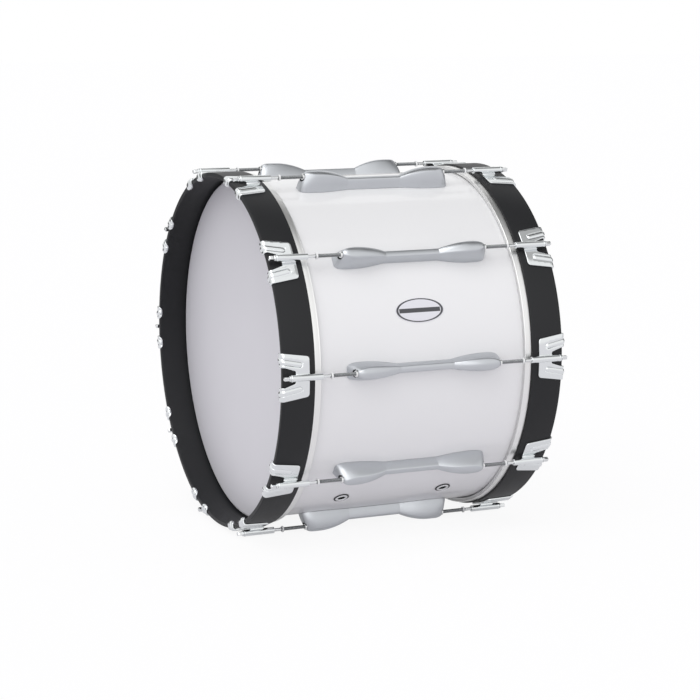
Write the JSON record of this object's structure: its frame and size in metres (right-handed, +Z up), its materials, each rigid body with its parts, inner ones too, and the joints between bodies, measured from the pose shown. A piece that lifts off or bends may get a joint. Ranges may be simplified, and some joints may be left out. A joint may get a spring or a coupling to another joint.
{
  "type": "marching bass drum",
  "caption": "Marching bass drum on its side: white shell, black wood hoops held by chrome fork claws and tension rods, satin bridge lugs, two white film heads.",
  "frame": {"origin": "centre of the footprint at floor level, straight below the drum's axis", "axes": "+Z up, the drum's axis lies along Y with the batter head facing -Y, and +X points to the side that holds the first lug and the vents"},
  "size_m": [0.5648, 0.4476, 0.5385],
  "materials": {
    "shell_lacquer": "gloss white lacquer over maple",
    "black_hoop": "matte black lacquer",
    "head_film": "smooth white film",
    "flesh_ring": "satin",
    "satin_lug": "satin",
    "claw_chrome": "polished",
    "rod_chrome": "polished",
    "bright_nuts": "polished",
    "vent_metal": "polished",
    "screw_steel": "plain steel"
  },
  "bodies": {
    "drum": {"shell": "shell_lacquer", "vents": "vent_metal", "swivel_nuts": "bright_nuts", "lug_screws": "screw_steel", "lug_1": "satin_lug", "lug_2": "satin_lug", "lug_3": "satin_lug", "lug_4": "satin_lug", "lug_5": "satin_lug", "lug_6": "satin_lug", "lug_7": "satin_lug", "lug_8": "satin_lug", "lug_9": "satin_lug", "lug_10": "satin_lug"},
    "front_rim": {"front_hoop": "black_hoop", "front_head": "head_film", "front_flesh_hoop": "flesh_ring", "front_claw_1": "claw_chrome", "front_claw_2": "claw_chrome", "front_claw_3": "claw_chrome", "front_claw_4": "claw_chrome", "front_claw_5": "claw_chrome", "front_claw_6": "claw_chrome", "front_claw_7": "claw_chrome", "front_claw_8": "claw_chrome", "front_claw_9": "claw_chrome", "front_claw_10": "claw_chrome"},
    "rear_rim": {"rear_hoop": "black_hoop", "rear_head": "head_film", "rear_flesh_hoop": "flesh_ring", "rear_claw_1": "claw_chrome", "rear_claw_2": "claw_chrome", "rear_claw_3": "claw_chrome", "rear_claw_4": "claw_chrome", "rear_claw_5": "claw_chrome", "rear_claw_6": "claw_chrome", "rear_claw_7": "claw_chrome", "rear_claw_8": "claw_chrome", "rear_claw_9": "claw_chrome", "rear_claw_10": "claw_chrome"},
    "front_rod_1_body": {"front_rod_1": "rod_chrome"},
    "front_rod_2_body": {"front_rod_2": "rod_chrome"},
    "front_rod_3_body": {"front_rod_3": "rod_chrome"},
    "front_rod_4_body": {"front_rod_4": "rod_chrome"},
    "front_rod_5_body": {"front_rod_5": "rod_chrome"},
    "front_rod_6_body": {"front_rod_6": "rod_chrome"},
    "front_rod_7_body": {"front_rod_7": "rod_chrome"},
    "front_rod_8_body": {"front_rod_8": "rod_chrome"},
    "front_rod_9_body": {"front_rod_9": "rod_chrome"},
    "front_rod_10_body": {"front_rod_10": "rod_chrome"},
    "rear_rod_1_body": {"rear_rod_1": "rod_chrome"},
    "rear_rod_2_body": {"rear_rod_2": "rod_chrome"},
    "rear_rod_3_body": {"rear_rod_3": "rod_chrome"},
    "rear_rod_4_body": {"rear_rod_4": "rod_chrome"},
    "rear_rod_5_body": {"rear_rod_5": "rod_chrome"},
    "rear_rod_6_body": {"rear_rod_6": "rod_chrome"},
    "rear_rod_7_body": {"rear_rod_7": "rod_chrome"},
    "rear_rod_8_body": {"rear_rod_8": "rod_chrome"},
    "rear_rod_9_body": {"rear_rod_9": "rod_chrome"},
    "rear_rod_10_body": {"rear_rod_10": "rod_chrome"}
  },
  "joints": [
    {"name": "front_rim_slide", "type": "slide", "parent": "drum", "child": "front_rim", "axis": [0, -1, 0], "range_m": [0, 0.01]},
    {"name": "rear_rim_slide", "type": "slide", "parent": "drum", "child": "rear_rim", "axis": [0, 1, 0], "range_m": [0, 0.01]},
    {"name": "front_rod_1_turn", "type": "hinge", "parent": "front_rim", "child": "front_rod_1_body", "pos_m": [0.274, -0.18, 0.26922], "axis": [0, -1, 0], "range_deg": [0, 3405]},
    {"name": "front_rod_2_turn", "type": "hinge", "parent": "front_rim", "child": "front_rod_2_body", "pos_m": [0.22167, -0.18, 0.43028], "axis": [0, -1, 0], "range_deg": [0, 3405]},
    {"name": "front_rod_3_turn", "type": "hinge", "parent": "front_rim", "child": "front_rod_3_body", "pos_m": [0.08467, -0.18, 0.52981], "axis": [0, -1, 0], "range_deg": [0, 3405]},
    {"name": "front_rod_4_turn", "type": "hinge", "parent": "front_rim", "child": "front_rod_4_body", "pos_m": [-0.08467, -0.18, 0.52981], "axis": [0, -1, 0], "range_deg": [0, 3405]},
    {"name": "front_rod_5_turn", "type": "hinge", "parent": "front_rim", "child": "front_rod_5_body", "pos_m": [-0.22167, -0.18, 0.43028], "axis": [0, -1, 0], "range_deg": [0, 3405]},
    {"name": "front_rod_6_turn", "type": "hinge", "parent": "front_rim", "child": "front_rod_6_body", "pos_m": [-0.274, -0.18, 0.26922], "axis": [0, -1, 0], "range_deg": [0, 3405]},
    {"name": "front_rod_7_turn", "type": "hinge", "parent": "front_rim", "child": "front_rod_7_body", "pos_m": [-0.22167, -0.18, 0.10817], "axis": [0, -1, 0], "range_deg": [0, 3405]},
    {"name": "front_rod_8_turn", "type": "hinge", "parent": "front_rim", "child": "front_rod_8_body", "pos_m": [-0.08467, -0.18, 0.00864], "axis": [0, -1, 0], "range_deg": [0, 3405]},
    {"name": "front_rod_9_turn", "type": "hinge", "parent": "front_rim", "child": "front_rod_9_body", "pos_m": [0.08467, -0.18, 0.00864], "axis": [0, -1, 0], "range_deg": [0, 3405]},
    {"name": "front_rod_10_turn", "type": "hinge", "parent": "front_rim", "child": "front_rod_10_body", "pos_m": [0.22167, -0.18, 0.10817], "axis": [0, -1, 0], "range_deg": [0, 3405]},
    {"name": "rear_rod_1_turn", "type": "hinge", "parent": "rear_rim", "child": "rear_rod_1_body", "pos_m": [0.274, 0.18, 0.26922], "axis": [0, 1, 0], "range_deg": [0, 3405]},
    {"name": "rear_rod_2_turn", "type": "hinge", "parent": "rear_rim", "child": "rear_rod_2_body", "pos_m": [0.22167, 0.18, 0.43028], "axis": [0, 1, 0], "range_deg": [0, 3405]},
    {"name": "rear_rod_3_turn", "type": "hinge", "parent": "rear_rim", "child": "rear_rod_3_body", "pos_m": [0.08467, 0.18, 0.52981], "axis": [0, 1, 0], "range_deg": [0, 3405]},
    {"name": "rear_rod_4_turn", "type": "hinge", "parent": "rear_rim", "child": "rear_rod_4_body", "pos_m": [-0.08467, 0.18, 0.52981], "axis": [0, 1, 0], "range_deg": [0, 3405]},
    {"name": "rear_rod_5_turn", "type": "hinge", "parent": "rear_rim", "child": "rear_rod_5_body", "pos_m": [-0.22167, 0.18, 0.43028], "axis": [0, 1, 0], "range_deg": [0, 3405]},
    {"name": "rear_rod_6_turn", "type": "hinge", "parent": "rear_rim", "child": "rear_rod_6_body", "pos_m": [-0.274, 0.18, 0.26922], "axis": [0, 1, 0], "range_deg": [0, 3405]},
    {"name": "rear_rod_7_turn", "type": "hinge", "parent": "rear_rim", "child": "rear_rod_7_body", "pos_m": [-0.22167, 0.18, 0.10817], "axis": [0, 1, 0], "range_deg": [0, 3405]},
    {"name": "rear_rod_8_turn", "type": "hinge", "parent": "rear_rim", "child": "rear_rod_8_body", "pos_m": [-0.08467, 0.18, 0.00864], "axis": [0, 1, 0], "range_deg": [0, 3405]},
    {"name": "rear_rod_9_turn", "type": "hinge", "parent": "rear_rim", "child": "rear_rod_9_body", "pos_m": [0.08467, 0.18, 0.00864], "axis": [0, 1, 0], "range_deg": [0, 3405]},
    {"name": "rear_rod_10_turn", "type": "hinge", "parent": "rear_rim", "child": "rear_rod_10_body", "pos_m": [0.22167, 0.18, 0.10817], "axis": [0, 1, 0], "range_deg": [0, 3405]}
  ],
  "couplings": [
    {"joint": "front_rod_1_turn", "follows": "front_rim_slide", "rad_per_m": 5936.9},
    {"joint": "front_rod_2_turn", "follows": "front_rim_slide", "rad_per_m": 5936.9},
    {"joint": "front_rod_3_turn", "follows": "front_rim_slide", "rad_per_m": 5936.9},
    {"joint": "front_rod_4_turn", "follows": "front_rim_slide", "rad_per_m": 5936.9},
    {"joint": "front_rod_5_turn", "follows": "front_rim_slide", "rad_per_m": 5936.9},
    {"joint": "front_rod_6_turn", "follows": "front_rim_slide", "rad_per_m": 5936.9},
    {"joint": "front_rod_7_turn", "follows": "front_rim_slide", "rad_per_m": 5936.9},
    {"joint": "front_rod_8_turn", "follows": "front_rim_slide", "rad_per_m": 5936.9},
    {"joint": "front_rod_9_turn", "follows": "front_rim_slide", "rad_per_m": 5936.9},
    {"joint": "front_rod_10_turn", "follows": "front_rim_slide", "rad_per_m": 5936.9},
    {"joint": "rear_rod_1_turn", "follows": "rear_rim_slide", "rad_per_m": 5936.9},
    {"joint": "rear_rod_2_turn", "follows": "rear_rim_slide", "rad_per_m": 5936.9},
    {"joint": "rear_rod_3_turn", "follows": "rear_rim_slide", "rad_per_m": 5936.9},
    {"joint": "rear_rod_4_turn", "follows": "rear_rim_slide", "rad_per_m": 5936.9},
    {"joint": "rear_rod_5_turn", "follows": "rear_rim_slide", "rad_per_m": 5936.9},
    {"joint": "rear_rod_6_turn", "follows": "rear_rim_slide", "rad_per_m": 5936.9},
    {"joint": "rear_rod_7_turn", "follows": "rear_rim_slide", "rad_per_m": 5936.9},
    {"joint": "rear_rod_8_turn", "follows": "rear_rim_slide", "rad_per_m": 5936.9},
    {"joint": "rear_rod_9_turn", "follows": "rear_rim_slide", "rad_per_m": 5936.9},
    {"joint": "rear_rod_10_turn", "follows": "rear_rim_slide", "rad_per_m": 5936.9}
  ]
}
